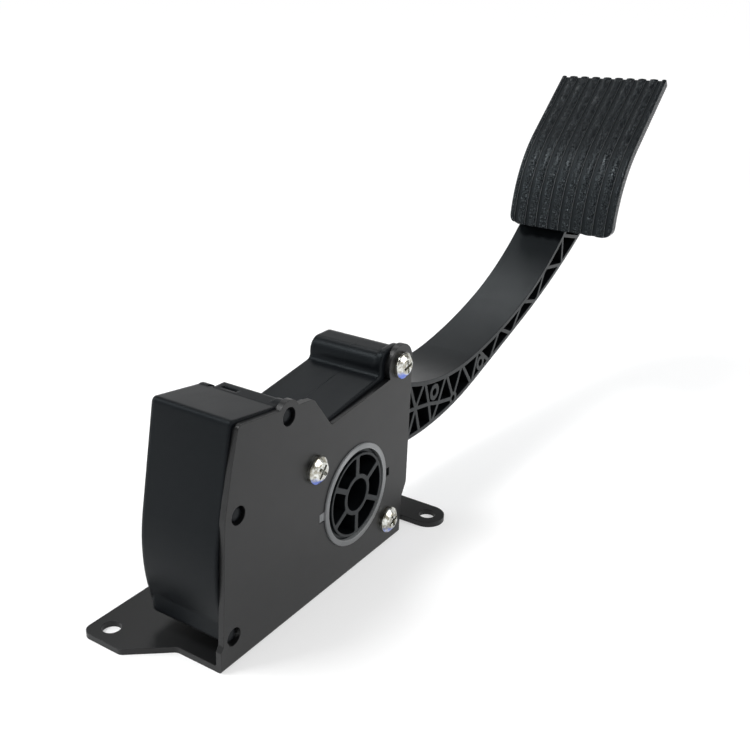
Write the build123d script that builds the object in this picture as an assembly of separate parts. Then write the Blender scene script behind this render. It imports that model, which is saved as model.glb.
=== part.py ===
from build123d import *
from math import acos, atan2, cos, degrees, radians, sin
import os

# Electronic accelerator pedal: a folded steel bracket carries a moulded housing, and a ribbed
# arm turns in it on two bushes, against a pair of nested return springs.
# Millimetres. +X runs from the spring tower to the tread, +Y from the side plate to the sensor.
# The origin is on the underside of the base, below the pivot, in the arm's middle plane.
# Outlines in X and Z are drawn about the pivot, so they move with PIVOT_HEIGHT.

# Arm and travel
ARM_WIDTH = 27.5
PIVOT_HEIGHT = 35.5
RIB_WIDTH = 1.8
FLANGE = 2.0
MID_WEB = 2.4
FIT_GAP = 0.05
LOOSE_GAP = 0.3

# Bracket sheet
SHEET = 2.5
BEND_OUTER = 1.5
BEND_INNER = 0.8
FOLD = SHEET + 2.0
BASE_LEFT = -84.0
PLATE_RIGHT = 35.8
EAR_HOLE_RADIUS = 3.75
LEFT_EAR_HOLE = (-89.4, 30.1)
LEFT_EAR_MARGIN = 7.8
RIGHT_EAR_HOLE = (53.4, -24.0)
RIGHT_EAR_RADIUS = 7.9

# Distances across the pedal, from the arm's middle plane
ARM_NEAR = -ARM_WIDTH / 2
ARM_FAR = ARM_WIDTH / 2
PLATE_IN = ARM_NEAR - 3.5
PLATE_OUT = PLATE_IN - SHEET
WALL = 2.5
WALL_IN = ARM_FAR + 2.0
WALL_OUT = WALL_IN + WALL

# Plate screws and moulded stakes, about the pivot
UPPER_SCREW = (31.8, 46.9)
MIDDLE_SCREW = (-28.0, 23.3)
LOWER_SCREW = (24.6, -23.3)
PLATE_SCREWS = (UPPER_SCREW, MIDDLE_SCREW, LOWER_SCREW)
SCREW_RADIUS = 3.0
SCREW_LENGTH = 15.0
HEAD_RADIUS = 5.8
HEAD_HEIGHT = 3.6
CLEARANCE_HOLE = 3.3
INSERT_RADIUS = 4.0
INSERT_LENGTH = 11.0
BOSS_RADIUS = 6.2
EAR_RADIUS = 9.0
TOWER_STAKE = (-44.2, 51.3)
END_STAKE = (-72.8, 24.5)
FOOT_STAKE = (-77.0, -23.4)
STAKE_HOLE = 3.6
STAKE_RADIUS = 2.6

# Hub and bushes
DRUM_RADIUS = 19.65
BUSH_BORE = DRUM_RADIUS + FIT_GAP
BUSH_RADIUS = 22.0
BUSH_FLANGE_RADIUS = 24.5
BUSH_PROUD = 0.6
LUG_TIP = 25.2
LUG_WIDTH = 3.8
JOURNAL_RADIUS = 9.95
FAR_BUSH_RADIUS = 13.0
FAR_BOSS_RADIUS = 17.0
FAR_BOSS_HEIGHT = 3.0
SPOKES = 6
SPOKE_WIDTH = 2.2
HUB_CORE = 7.0
HUB_CORE_WALL = 1.8
HUB_RIM = 17.0
HUB_POCKET_DEPTH = 13.0

# Return springs, about the tail pin
TAIL_PIN = (-58.5, -9.3)
TAIL_PIN_RADIUS = 3.0
TAIL_END_RADIUS = 5.5
SEAT_RISE = 12.5
SEAT_THICKNESS = 2.5
SPRING_TOP = 48.7
OUTER_COIL = 9.9
OUTER_WIRE = 1.25
OUTER_TURNS = 5.0
INNER_COIL = 6.6
INNER_WIRE = 0.9
INNER_TURNS = 6.0

# Tread, along the curve of its face
TREAD_START = (202.5, 69.4)
TREAD_START_ANGLE = 89.0
TREAD_CURVE = 63.0
TREAD_TURN = 49.0
TREAD_STRAIGHT = 47.2
TREAD_SLANT = 3.6
TREAD_NEAR = -43.5
TREAD_WIDTH = 59.4
TREAD_BODY = 1.2
TREAD_GROOVES = 9
TREAD_PITCH = 6.56
TREAD_GROOVE = 2.2
TREAD_RIB_HEIGHT = 1.2
TREAD_CROWN = 0.4
TREAD_SKIRT = 1.2
TREAD_CORNER = 5.0
PAD_PLATE = 2.2

# Sensor on the far wall
COVER_RADIUS = 21.5
COVER_WALL = 2.2
COVER_HEIGHT = 14.0
COVER_SCREW_CIRCLE = 26.5
COVER_SCREW_ANGLES = (100, 220, 340)
COVER_BOSS_RADIUS = 4.2
COVER_BOSS_HEIGHT = 5.0
COVER_EAR = 2.6
SOCKET_LENGTH = 46.0
SOCKET_WIDTH = 18.0
SOCKET_HEIGHT = 12.0
SOCKET_WALL = 1.6
SOCKET_DEPTH = 20.0
PIN_SIZE = 0.8
PIN_PITCH = 4.0
PIN_ROW = 3.4


def prism_y(face, low, high):
    """A face drawn in X and Z about the pivot, as a solid between two distances across the pedal."""
    plane = Plane(origin=(0, high, PIVOT_HEIGHT), x_dir=(1, 0, 0), z_dir=(0, -1, 0))
    return extrude(plane * face, amount=high - low, dir=(0, -1, 0))


def prism_x(face, low, high):
    """A face drawn in Y and Z, as a solid between two distances along the pedal."""
    plane = Plane(origin=(low, 0, 0), x_dir=(0, 1, 0), z_dir=(1, 0, 0))
    return extrude(plane * face, amount=high - low, dir=(1, 0, 0))


def disc(centre, radius):
    return Pos(centre[0], centre[1]) * Circle(radius)


def ring(outer, inner):
    return Circle(outer) - Circle(inner)


def polar(radius, angle):
    return (radius * cos(radians(angle)), radius * sin(radians(angle)))


def outline(corners):
    """A closed outline from corners given as (x, z, radius)."""
    points = [(x, z) for x, z, _ in corners]
    return make_face(FilletPolyline(*points, radius=[r for _, _, r in corners], close=True))


def round_corner(face, corner, radius):
    """The face with a fillet at its vertex nearest to a point."""
    nearest = face.vertices().sort_by_distance((corner[0], corner[1], 0))[0]
    return fillet(nearest, radius)


def strip(start, end, width):
    """A straight rib between two points."""
    reach = Vector(end[0] - start[0], end[1] - start[1])
    middle = Pos((start[0] + end[0]) / 2, (start[1] + end[1]) / 2)
    return middle * Rot(0, 0, degrees(atan2(reach.Y, reach.X))) * Rectangle(reach.length, width)


def link(centre_a, radius_a, centre_b, radius_b):
    """Two discs joined along their outer tangents."""
    reach = Vector(centre_b[0] - centre_a[0], centre_b[1] - centre_a[1])
    lean = acos((radius_a - radius_b) / reach.length)
    heading = atan2(reach.Y, reach.X)
    corners = []
    for centre, radius, side in (
        (centre_a, radius_a, 1),
        (centre_b, radius_b, 1),
        (centre_b, radius_b, -1),
        (centre_a, radius_a, -1),
    ):
        angle = heading + side * lean
        corners.append((centre[0] + radius * cos(angle), centre[1] + radius * sin(angle)))
    return make_face(Polyline(*corners, close=True)) + disc(centre_a, radius_a) + disc(centre_b, radius_b)


# Bracket

def plate_face():
    """The side plate above its fold, with the screw ear and the bump round the tower stake."""
    foot = FOLD - PIVOT_HEIGHT
    face = outline([
        (BASE_LEFT, foot, 0),
        (BASE_LEFT, -26.6, 0.6),
        (-82.6, -24.6, 0.6),
        (-79.75, 25.0, 20),
        (-75.9, 42.2, 60),
        (-71.5, 58.1, 2.5),
        (-29.5, 52.9, 4),
        (-18.0, 38.1, 2.5),
        (24.0, 42.9, 0),
        (UPPER_SCREW[0] + EAR_RADIUS, UPPER_SCREW[1], 0),
        (40.0, -11.5, 4),
        (36.8, -17.0, 3),
        (PLATE_RIGHT, foot, 0),
    ])
    face += disc(UPPER_SCREW, EAR_RADIUS)
    face += disc(TOWER_STAKE, STAKE_HOLE + 2.7)
    return face


def base_face():
    """The base with its left ear and the tab to the right ear, from above."""
    fold_line = PLATE_OUT + FOLD
    tab_left = RIGHT_EAR_HOLE[0] - RIGHT_EAR_RADIUS
    tab_right = RIGHT_EAR_HOLE[0] + RIGHT_EAR_RADIUS
    ear_left = LEFT_EAR_HOLE[0] - LEFT_EAR_MARGIN
    ear_far = LEFT_EAR_HOLE[1] + LEFT_EAR_MARGIN
    face = outline([
        (BASE_LEFT, fold_line, 0),
        (BASE_LEFT, PLATE_OUT + 21.6, 3),
        (ear_left, PLATE_OUT + 37.6, 3),
        (ear_left, ear_far, 4),
        (-56.0, ear_far, 6),
        (-42.0, WALL_OUT + 5.0, 6),
        (tab_right, WALL_OUT + 5.0, 8),
        (tab_right, RIGHT_EAR_HOLE[1], 0),
        (tab_left, RIGHT_EAR_HOLE[1], 0),
        (tab_left, fold_line + 2.0, 1.5),
        (PLATE_RIGHT, fold_line + 2.0, 0),
        (PLATE_RIGHT, fold_line, 0),
    ])
    face += disc(RIGHT_EAR_HOLE, RIGHT_EAR_RADIUS)
    return face - disc(LEFT_EAR_HOLE, EAR_HOLE_RADIUS) - disc(RIGHT_EAR_HOLE, EAR_HOLE_RADIUS)


def fold_face():
    """The section of the tight fold between the base and the plate, drawn in Y and Z."""
    square = Pos(PLATE_OUT + FOLD / 2, FOLD / 2) * Rectangle(FOLD, FOLD)
    face = square - Pos(PLATE_IN + FOLD / 2, SHEET + FOLD / 2) * Rectangle(FOLD, FOLD)
    face = round_corner(face, (PLATE_OUT, 0), BEND_OUTER)
    return round_corner(face, (PLATE_IN, SHEET), BEND_INNER)


def mounting_bracket():
    plate = plate_face() - Circle(BUSH_RADIUS + FIT_GAP)
    for side in (-1, 1):
        plate -= Pos(side * (LUG_TIP - 2.5), 0) * Rectangle(5.0 + FIT_GAP, LUG_WIDTH + 2 * FIT_GAP)
    for screw in PLATE_SCREWS:
        plate -= disc(screw, CLEARANCE_HOLE)
    for stake in (TOWER_STAKE, END_STAKE, FOOT_STAKE):
        plate -= disc(stake, STAKE_HOLE)
    solid = prism_y(plate, PLATE_OUT, PLATE_IN) + extrude(base_face(), SHEET)
    return solid + prism_x(fold_face(), BASE_LEFT, PLATE_RIGHT)


# Housing

TOWER_RIGHT = -41.5
TOWER_TOP = 59.3
TOWER_SHOULDER = (-48.3, 56.0)
TOWER_EDGE = 52.6
ROOF_LEFT = (-37.5, 36.0)
ROOF_RIGHT = (19.5, 45.0)
TUBE_RADIUS = 7.0
TUBE_LEFT = ROOF_RIGHT[0]
TUBE_FLOOR = 37.5
MOUTH_X = 39.0
HOUSING_FLOOR = -24.8
SILL_TOP = -15.5
SILL_LEFT = 32.5


def tower_end():
    """The left end of the spring tower: straight below its top corner, then bowed down to the foot."""
    top = (-72.9, TOWER_TOP)
    knee = (-81.0, 17.0)
    straight = Line(top, knee)
    return [straight, TangentArc(knee, (-78.0, HOUSING_FLOOR), tangent=straight % 1)]


def body_face():
    """The housing's outline behind the side plate, without the stop boss tube."""
    ends = tower_end()
    rest = Polyline(
        ends[-1] @ 1,
        (MOUTH_X, HOUSING_FLOOR),
        (MOUTH_X, ROOF_RIGHT[1] - 2.0),
        ROOF_RIGHT,
        ROOF_LEFT,
        (TOWER_RIGHT, TOWER_EDGE),
        TOWER_SHOULDER,
        ends[0] @ 0,
    )
    face = round_corner(make_face(ends + rest.edges()), (-72.9, TOWER_TOP), 2.0)
    return round_corner(face, ROOF_LEFT, 3.0)


def tube_face(radius):
    """The stop boss tube: a flat left flank, a rounded top and the round boss of the upper screw."""
    x, z = UPPER_SCREW
    block = outline([
        (TUBE_LEFT, TUBE_FLOOR, 0),
        (TUBE_LEFT, z + radius, 5.5),
        (x, z + radius, 0),
        (x + radius, z, 0),
        (x + radius, TUBE_FLOOR, 0),
    ])
    return block + disc(UPPER_SCREW, radius)


def housing():
    outer = body_face()
    tube = tube_face(TUBE_RADIUS)
    profile = round_corner(outer + tube, ROOF_RIGHT, 2.5)
    shell = prism_y(profile + disc(LOWER_SCREW, BOSS_RADIUS - 0.4), PLATE_IN, WALL_OUT)
    shell += prism_y(tube_face(TUBE_RADIUS + 1.2), PLATE_IN, PLATE_IN + 3.0)
    shell += prism_y(rim_web(), PLATE_IN, PLATE_IN + 2.5)
    shell += foot_band()
    cavity = offset(outer, -WALL) - tube
    cavity += Pos(MOUTH_X, (TUBE_FLOOR + SILL_TOP) / 2) * Rectangle(12, TUBE_FLOOR - SILL_TOP)
    cavity -= outline([
        (SILL_LEFT, HOUSING_FLOOR, 0),
        (SILL_LEFT, SILL_TOP, 2),
        (MOUTH_X + 10, SILL_TOP, 0),
        (MOUTH_X + 10, HOUSING_FLOOR, 0),
    ])
    cavity -= disc(MIDDLE_SCREW, BOSS_RADIUS) + disc(LOWER_SCREW, BOSS_RADIUS) + leaf_block()
    shell -= prism_y(cavity, PLATE_IN, WALL_IN)
    for stake in (TOWER_STAKE, END_STAKE, stake_foot()):
        shell += prism_y(disc(stake, STAKE_RADIUS + 1.6) & outer, PLATE_IN, PLATE_IN + 4.0)
        shell += prism_y(disc(stake, STAKE_RADIUS), PLATE_OUT + 1.2, PLATE_IN)
    shell += tower_bosses()
    shell += prism_y(Circle(FAR_BOSS_RADIUS), WALL_OUT, WALL_OUT + FAR_BOSS_HEIGHT)
    for angle in COVER_SCREW_ANGLES:
        spot = polar(COVER_SCREW_CIRCLE, angle)
        shell += prism_y(disc(spot, COVER_BOSS_RADIUS), WALL_OUT, WALL_OUT + COVER_BOSS_HEIGHT)
        shell -= prism_y(disc(spot, 1.6), WALL_OUT - 1.5, WALL_OUT + COVER_BOSS_HEIGHT)
    shell -= prism_y(Circle(FAR_BUSH_RADIUS + FIT_GAP), WALL_IN, WALL_OUT + FAR_BOSS_HEIGHT)
    for screw in PLATE_SCREWS:
        shell -= prism_y(disc(screw, INSERT_RADIUS), PLATE_IN, PLATE_IN + INSERT_LENGTH)
        shell -= prism_y(disc(screw, SCREW_RADIUS + 0.2), PLATE_IN, PLATE_IN + SCREW_LENGTH + 1)
    shell -= snap_slot()
    return shell - prism_y(idle_recess(), ARM_NEAR + 3, ARM_FAR - 3)


def rim_web():
    """The thin rim behind the side plate, between the tower's right wall and the roof."""
    return outline([
        (TOWER_RIGHT - 2, TOWER_EDGE - 1.0, 0),
        (-30.2, 52.3, 4),
        (-18.6, ROOF_LEFT[1] + 2.2, 0),
        (ROOF_LEFT[0] - 2, ROOF_LEFT[1] - 0.5, 0),
    ])


def foot_band():
    """The low band round the foot of the tower, a little proud of it, with a rounded far corner."""
    width = WALL_OUT + 1.0 - PLATE_IN
    face = Pos(-60.2, PLATE_IN + width / 2) * Rectangle(40, width)
    face = round_corner(face, (-80.2, WALL_OUT + 1.0), 4.0)
    inner = Pos(-56.0, PLATE_IN + width / 2 - 3) * Rectangle(42, width)
    return Pos(0, 0, PIVOT_HEIGHT + HOUSING_FLOOR) * extrude(face - inner, 7.6)


def stake_foot():
    """The lowest stake sits high in its hole, so that it stays above the housing's floor."""
    return (FOOT_STAKE[0] - 0.6, FOOT_STAKE[1] + 0.6)


def tower_bosses():
    """The boss behind the tower stake, its fellow at the far edge, and the shelf with the snap slot."""
    wall = offset(body_face(), -WALL)
    near = prism_y(disc(TOWER_STAKE, STAKE_HOLE + 1.8) - wall, PLATE_IN, PLATE_IN + 4.0)
    far = prism_y(disc((-48.3, 52.1), 4.2) - wall, WALL_OUT - 4.0, WALL_OUT)
    left, level = TOWER_SHOULDER
    pad = outline([
        (left - 0.2, level - 3.0, 0),
        (left - 0.2, level + 0.1, 0),
        (TOWER_RIGHT, level + 0.1, 1.2),
        (TOWER_RIGHT, TOWER_EDGE - 3.0, 0),
    ])
    return near + far + prism_y(pad - wall, PLATE_IN, 12.0)


SNAP_SLOT = (-46.2, 5.9)
SNAP_SLOT_SIZE = (1.6, 7.0)


def snap_slot():
    """The window in the tower's top for the hook of the upper spring seat."""
    level = PIVOT_HEIGHT + TOWER_SHOULDER[1]
    return Pos(SNAP_SLOT[0], SNAP_SLOT[1], level) * Box(SNAP_SLOT_SIZE[0], SNAP_SLOT_SIZE[1], 14)


def idle_recess():
    """The seat of the idle stop bumper in the underside of the tube."""
    return outline([(26.0, TUBE_FLOOR - 0.5, 0), (26.0, 39.0, 1), (38.0, 39.0, 1), (38.0, TUBE_FLOOR - 0.5, 0)])


SHOE_ANGLE = 127.0
SHOE_SPREAD = 13.0
SHOE_THICKNESS = 4.5
LEAF_SAG = 3.2
LEAF_CHORD = 13.0
LEAF_THICKNESS = 0.6


def leaf_block():
    """The block beside the middle screw boss that the friction leaf spring bears on."""
    reach = DRUM_RADIUS + LOOSE_GAP + SHOE_THICKNESS + LEAF_SAG + LEAF_THICKNESS + 0.1
    block = Pos(reach + 1.75, 0) * Rectangle(3.5, LEAF_CHORD + 3)
    return Rot(0, 0, SHOE_ANGLE) * block


# Arm

ARM_TOP = [(39.0, 35.8), (110.0, 25.4), (160.0, 37.7), (212.0, 67.1)]
ARM_TOP_HEADING = -25.0
ARM_FOOT = [(41.0, 3.6), (112.0, 11.3), (165.0, 29.2), (233.4, 60.0), (256.0, 87.5)]
ARM_FOOT_HEADING = -6.0


def tangent_chain(points, heading):
    """Arcs from point to point, each one leaving in the direction in which the last one arrived."""
    arcs = []
    direction = Vector(*polar(1, heading))
    for start, end in zip(points[:-1], points[1:]):
        arcs.append(TangentArc(start, end, tangent=direction))
        direction = arcs[-1] % 1
    return arcs


def tread_centre():
    """The centre of the tread's arc, behind its face."""
    return Vector(*TREAD_START) + Vector(*polar(TREAD_CURVE, TREAD_START_ANGLE - 90))


def tread_line(depth, ends=0.0):
    """The tread's curve at a depth behind its face, shortened at both ends."""
    radius = TREAD_CURVE - depth
    centre = tread_centre()
    cut = degrees(ends / TREAD_CURVE)
    first = TREAD_START_ANGLE + 90 - cut
    arc = CenterArc((centre.X, centre.Y), radius, first, cut - TREAD_TURN)
    heading = Vector(*polar(1, TREAD_START_ANGLE - TREAD_TURN))
    straight = Line(arc @ 1, (arc @ 1) + heading * (TREAD_STRAIGHT - ends))
    return arc, straight


def tread_band(front, back, ends=0.0):
    """A band of the tread's curve between two depths."""
    arc_a, line_a = tread_line(front, ends)
    arc_b, line_b = tread_line(back, ends)
    edges = [arc_a, line_a, Line(line_a @ 1, line_b @ 1), line_b, arc_b, Line(arc_b @ 0, arc_a @ 0)]
    return make_face(edges)


PAD_FRONT = TREAD_BODY + TREAD_RIB_HEIGHT


def beam_face():
    """The arm from the drum to the back of the pad plate."""
    top = tangent_chain(ARM_TOP, ARM_TOP_HEADING)
    foot = tangent_chain(ARM_FOOT, ARM_FOOT_HEADING)
    arc, straight = tread_line(PAD_FRONT + PAD_PLATE / 2, TREAD_SKIRT)
    pad_low = arc @ 0
    pad_high = straight @ 0.86
    edges = list(top)
    edges.append(Line(top[-1] @ 1, pad_low))
    edges.append(arc)
    edges.append(Line(straight @ 0, pad_high))
    edges.append(Line(pad_high, foot[-1] @ 1))
    edges += foot
    back = Polyline(foot[0] @ 0, (9.8, -17.0), (-6.0, 18.6), (25.5, 35.8), top[0] @ 0)
    edges += back.edges()
    face = make_face(edges)
    for corner, radius in ((foot[0] @ 0, 15), ((25.5, 35.8), 5), (top[0] @ 0, 5), (foot[-1] @ 1, 12)):
        nearest = face.vertices().sort_by_distance(Vector(corner))[0]
        face = fillet(nearest, radius)
    return face


def height_on(chain, x):
    """The point of a chain of arcs at a distance along the pedal."""
    hits = [hit for arc in chain for hit in arc.find_intersection_points(Axis((x, 0, 0), (0, 1, 0)))]
    return (x, hits[0].Y)


# The lattice's ribs run between nodes on the top flange, the foot flange and the inner web.
WEB_NODES = {"a": (32.0, 20.0), "b": (56.0, 16.5), "c": (68.0, 14.5), "d": (77.0, 12.0), "e": (91.6, 9.3)}
LATTICE = [
    ("top", 30.0, "web", "a"), ("foot", 41.5, "web", "a"), ("web", "a", "web", "b"),
    ("top", 49.5, "web", "b"), ("foot", 49.5, "web", "b"), ("top", 63.5, "web", "b"),
    ("foot", 60.5, "web", "b"), ("web", "b", "web", "c"), ("top", 63.5, "web", "c"),
    ("foot", 71.0, "web", "c"), ("web", "c", "web", "d"), ("top", 83.5, "web", "d"),
    ("foot", 71.0, "web", "d"), ("web", "d", "web", "e"), ("top", 83.5, "web", "e"),
    ("top", 98.8, "web", "e"), ("top", 98.8, "foot", 109.8), ("foot", 109.8, "top", 115.5),
    ("top", 115.5, "foot", 128.3), ("foot", 128.3, "top", 138.0), ("top", 138.0, "foot", 152.0),
    ("foot", 152.0, "top", 163.5), ("top", 163.5, "foot", 180.8), ("foot", 180.8, "top", 189.5),
    ("top", 189.5, "foot", 211.5), ("foot", 211.5, "top", 209.8), ("top", 209.8, "foot", 233.0),
]
# Small round bosses with a hole, among the ribs
LATTICE_BOSSES = [((72.8, 18.8), 4.0, 1.9), ((91.6, 9.3), 3.2, 1.5), ((118.3, 19.0), 3.9, 1.9)]


def lattice_node(kind, place, chains):
    if kind == "web":
        return WEB_NODES[place]
    if kind == "top" and place < ARM_TOP[0][0]:
        return (place, ARM_TOP[0][1])
    return height_on(chains[kind], place)


def lattice_face():
    """The ribs and small bosses that stand in the arm's side pockets."""
    chains = {
        "top": tangent_chain(ARM_TOP, ARM_TOP_HEADING),
        "foot": tangent_chain(ARM_FOOT, ARM_FOOT_HEADING),
    }
    ribs = Sketch()
    for kind_a, place_a, kind_b, place_b in LATTICE:
        ribs += strip(lattice_node(kind_a, place_a, chains), lattice_node(kind_b, place_b, chains), RIB_WIDTH)
    back_arc, back_line = tread_line(PAD_FRONT + PAD_PLATE)
    for high, low in ((back_arc @ 0.45, (233.0, 61.6)), (back_arc @ 1.0, (233.0, 61.6))):
        ribs += strip((high.X, high.Y), low, RIB_WIDTH)
    for high, low in ((back_arc @ 1.0, (256.0, 87.5)), (back_line @ 0.5, (257.0, 95.0))):
        ribs += strip((high.X, high.Y), low, RIB_WIDTH)
    for centre in WEB_NODES.values():
        ribs += disc(centre, RIB_WIDTH / 2)
    for centre, radius, _ in LATTICE_BOSSES:
        ribs += disc(centre, radius)
    return ribs


def pocket_face():
    """What is open in the arm's side: the beam within its flanges, less the ribs and the drum."""
    inner = offset(beam_face(), -FLANGE, kind=Kind.INTERSECTION)
    inner -= tread_band(PAD_FRONT - 1, PAD_FRONT + PAD_PLATE + 0.4)
    inner -= Circle(DRUM_RADIUS + RIB_WIDTH)
    return inner - lattice_face()


def hub_pockets():
    """Six pockets between the spokes and the round one in the middle."""
    pocket = ring(HUB_RIM, HUB_CORE + HUB_CORE_WALL)
    for k in range(SPOKES):
        pocket -= Rot(0, 0, 30 + k * 360 / SPOKES) * Pos(HUB_RIM / 2, 0) * Rectangle(HUB_RIM + 2, SPOKE_WIDTH)
    pocket = fillet(pocket.vertices(), 0.8)
    return pocket + Circle(HUB_CORE)


DRUM_NEAR = PLATE_OUT - BUSH_PROUD
DRUM_FAR = WALL_IN - 0.6 - LOOSE_GAP
JOURNAL_END = WALL_OUT + FAR_BOSS_HEIGHT
TAIL_HALF = 12.0
SLOT_HALF = 6.4


def tail():
    """The forked tail that lifts the lower spring seat."""
    body = prism_y(link((0, 0), 12.0, TAIL_PIN, TAIL_END_RADIUS), -TAIL_HALF, TAIL_HALF)
    slot = Pos(TAIL_PIN[0] + 1, TAIL_PIN[1]) * Rectangle(34, 40)
    body -= prism_y(slot, -SLOT_HALF, SLOT_HALF)
    return body - prism_y(disc(TAIL_PIN, TAIL_PIN_RADIUS), -TAIL_HALF, TAIL_HALF)


def pedal_arm():
    beam = prism_y(beam_face(), ARM_NEAR, ARM_FAR)
    pockets = pocket_face()
    beam -= prism_y(pockets, ARM_NEAR, -MID_WEB / 2)
    beam -= prism_y(pockets, MID_WEB / 2, ARM_FAR)
    for centre, _, hole in LATTICE_BOSSES:
        beam -= prism_y(disc(centre, hole), ARM_NEAR, -MID_WEB / 2 - 3)
    plate = tread_band(PAD_FRONT, PAD_FRONT + PAD_PLATE, TREAD_SKIRT)
    plate_near = TREAD_NEAR + TREAD_SKIRT
    plate = prism_y(plate, plate_near, TREAD_NEAR + TREAD_WIDTH - TREAD_SKIRT)
    beam += plate - foot_corners(TREAD_SKIRT) - top_slant(TREAD_SKIRT)
    beam += tail()
    beam += prism_y(Circle(DRUM_RADIUS), DRUM_NEAR, DRUM_FAR)
    beam += prism_y(Circle(JOURNAL_RADIUS), DRUM_FAR, JOURNAL_END)
    beam -= prism_y(hub_pockets(), DRUM_NEAR, DRUM_NEAR + HUB_POCKET_DEPTH)
    beam -= prism_y(ring(DRUM_RADIUS + 1, HUB_RIM + 1.0), DRUM_NEAR - 1, DRUM_NEAR + 1.8)
    return beam - prism_y(Circle(STUB_RADIUS + FIT_GAP), DRUM_FAR - 3, JOURNAL_END)


def foot_corners(inset):
    """What the two lower corners of the tread lose, or of the plate inset behind it."""
    radius = TREAD_CORNER - inset
    low = PIVOT_HEIGHT + TREAD_START[1] + inset
    lost = Sketch()
    for edge, side in ((TREAD_NEAR + inset, 1), (TREAD_NEAR + TREAD_WIDTH - inset, -1)):
        corner = Pos(edge + side * radius / 2, low + radius / 2 - 1) * Rectangle(radius, radius + 2)
        lost += corner - disc((edge + side * radius, low + radius), radius)
    return prism_x(lost, TREAD_START[0] - 1, TREAD_START[0] + 12)


def top_slant(inset):
    """What the tread's top end loses towards its far edge, or the plate inset behind it."""
    straight = tread_line(0, inset)[1]
    end = straight @ 1
    heading = straight % 1
    far = TREAD_NEAR + TREAD_WIDTH
    square = Plane(
        origin=(end.X, 0, PIVOT_HEIGHT + end.Y), x_dir=(0, 1, 0), z_dir=(heading.Y, 0, -heading.X)
    )
    lost = make_face(Polyline((TREAD_NEAR, 0), (far, -TREAD_SLANT), (far, 2), (TREAD_NEAR, 2), close=True))
    return extrude(square * lost, 12, both=True)


def tread_ribs():
    """Both sides of each rib between the grooves, with a narrow rib at either edge."""
    edge = (TREAD_WIDTH - TREAD_GROOVE - (TREAD_GROOVES - 1) * TREAD_PITCH) / 2
    grooves = [TREAD_NEAR + edge + k * TREAD_PITCH for k in range(TREAD_GROOVES)]
    lows = [TREAD_NEAR] + [groove + TREAD_GROOVE for groove in grooves]
    return list(zip(lows, grooves + [TREAD_NEAR + TREAD_WIDTH]))


def tread_pad():
    """The grooved rubber tread, with a skirt round the edge of the pad plate."""
    back = PAD_FRONT + PAD_PLATE
    body = prism_y(tread_band(TREAD_RIB_HEIGHT, back), TREAD_NEAR, TREAD_NEAR + TREAD_WIDTH)
    far = TREAD_NEAR + TREAD_WIDTH - TREAD_SKIRT
    room = prism_y(tread_band(PAD_FRONT, back + 1, TREAD_SKIRT), TREAD_NEAR + TREAD_SKIRT, far)
    body -= room - top_slant(TREAD_SKIRT)
    body -= prism_y(offset(beam_face(), LOOSE_GAP), ARM_NEAR - LOOSE_GAP, ARM_FAR + LOOSE_GAP)
    arc, straight = tread_line(0)
    path = Plane(origin=(0, 0, PIVOT_HEIGHT), x_dir=(1, 0, 0), z_dir=(0, -1, 0)) * Wire([arc, straight])
    start = Plane(origin=path @ 0, x_dir=(0, 1, 0), z_dir=path % 0)
    root = -TREAD_RIB_HEIGHT - 0.1
    for low, high in tread_ribs():
        crown = ThreePointArc((low, -TREAD_CROWN), ((low + high) / 2, 0), (high, -TREAD_CROWN))
        sides = Polyline(crown @ 1, (high, root), (low, root), crown @ 0)
        body += sweep(start * make_face([crown] + list(sides.edges())), path=path)
    return body - foot_corners(0) - top_slant(0)


# Bushes and stops

def near_hub_bush():
    """The light ring in the side plate, with a flange behind it and two lugs that stop it turning."""
    sleeve = prism_y(ring(BUSH_RADIUS, BUSH_BORE), PLATE_OUT - BUSH_PROUD, PLATE_IN + 1.4)
    flat = Pos(0, BUSH_FLANGE_RADIUS - BUSH_RADIUS) * Rectangle(2 * BUSH_FLANGE_RADIUS, 2 * BUSH_FLANGE_RADIUS)
    bush = sleeve + prism_y(ring(BUSH_FLANGE_RADIUS, BUSH_BORE) & flat, PLATE_IN + 0.1, PLATE_IN + 1.4)
    for side, sunk in ((-1, 0.2), (1, 1.6)):
        reach = LUG_TIP - BUSH_BORE - 1
        lug = Pos(side * (LUG_TIP - reach / 2), 0) * Rectangle(reach, LUG_WIDTH) - Circle(BUSH_BORE)
        bush += prism_y(lug, PLATE_OUT + sunk, PLATE_IN + 1.4)
    return bush


def far_hub_bush():
    """A plain flanged bush in the far wall."""
    bore = JOURNAL_RADIUS + FIT_GAP
    sleeve = prism_y(ring(FAR_BUSH_RADIUS, bore), WALL_IN - 0.6, JOURNAL_END)
    return sleeve + prism_y(ring(FAR_BUSH_RADIUS + 2.5, bore), WALL_IN - 0.6, WALL_IN)


def idle_stop_bumper():
    """The rubber block above the arm's shoulder, where the arm rests with the foot off."""
    face = outline([(26.1, 36.0, 1), (26.1, 38.9, 1), (37.9, 38.9, 1), (37.9, 36.0, 1)])
    return prism_y(face, ARM_NEAR + 3.1, ARM_FAR - 3.1)


def full_stop_bumper():
    """The rubber block on the sill, where the arm stops at full travel."""
    face = outline([
        (SILL_LEFT + 0.5, SILL_TOP, 0),
        (SILL_LEFT + 0.5, -11.6, 1),
        (MOUTH_X - 0.5, -10.1, 1),
        (MOUTH_X - 0.5, SILL_TOP, 0),
    ])
    return prism_y(face, ARM_NEAR + 2, ARM_FAR - 2)


def friction_shoe():
    """A curved shoe that drags on the drum and gives the pedal its feel."""
    inner = DRUM_RADIUS + LOOSE_GAP
    sector = make_face(Polyline((0, 0), polar(60, -SHOE_SPREAD), polar(60, SHOE_SPREAD), close=True))
    face = ring(inner + SHOE_THICKNESS, inner) & sector
    return prism_y(Rot(0, 0, SHOE_ANGLE) * face, ARM_NEAR + 3, ARM_FAR - 3)


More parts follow.
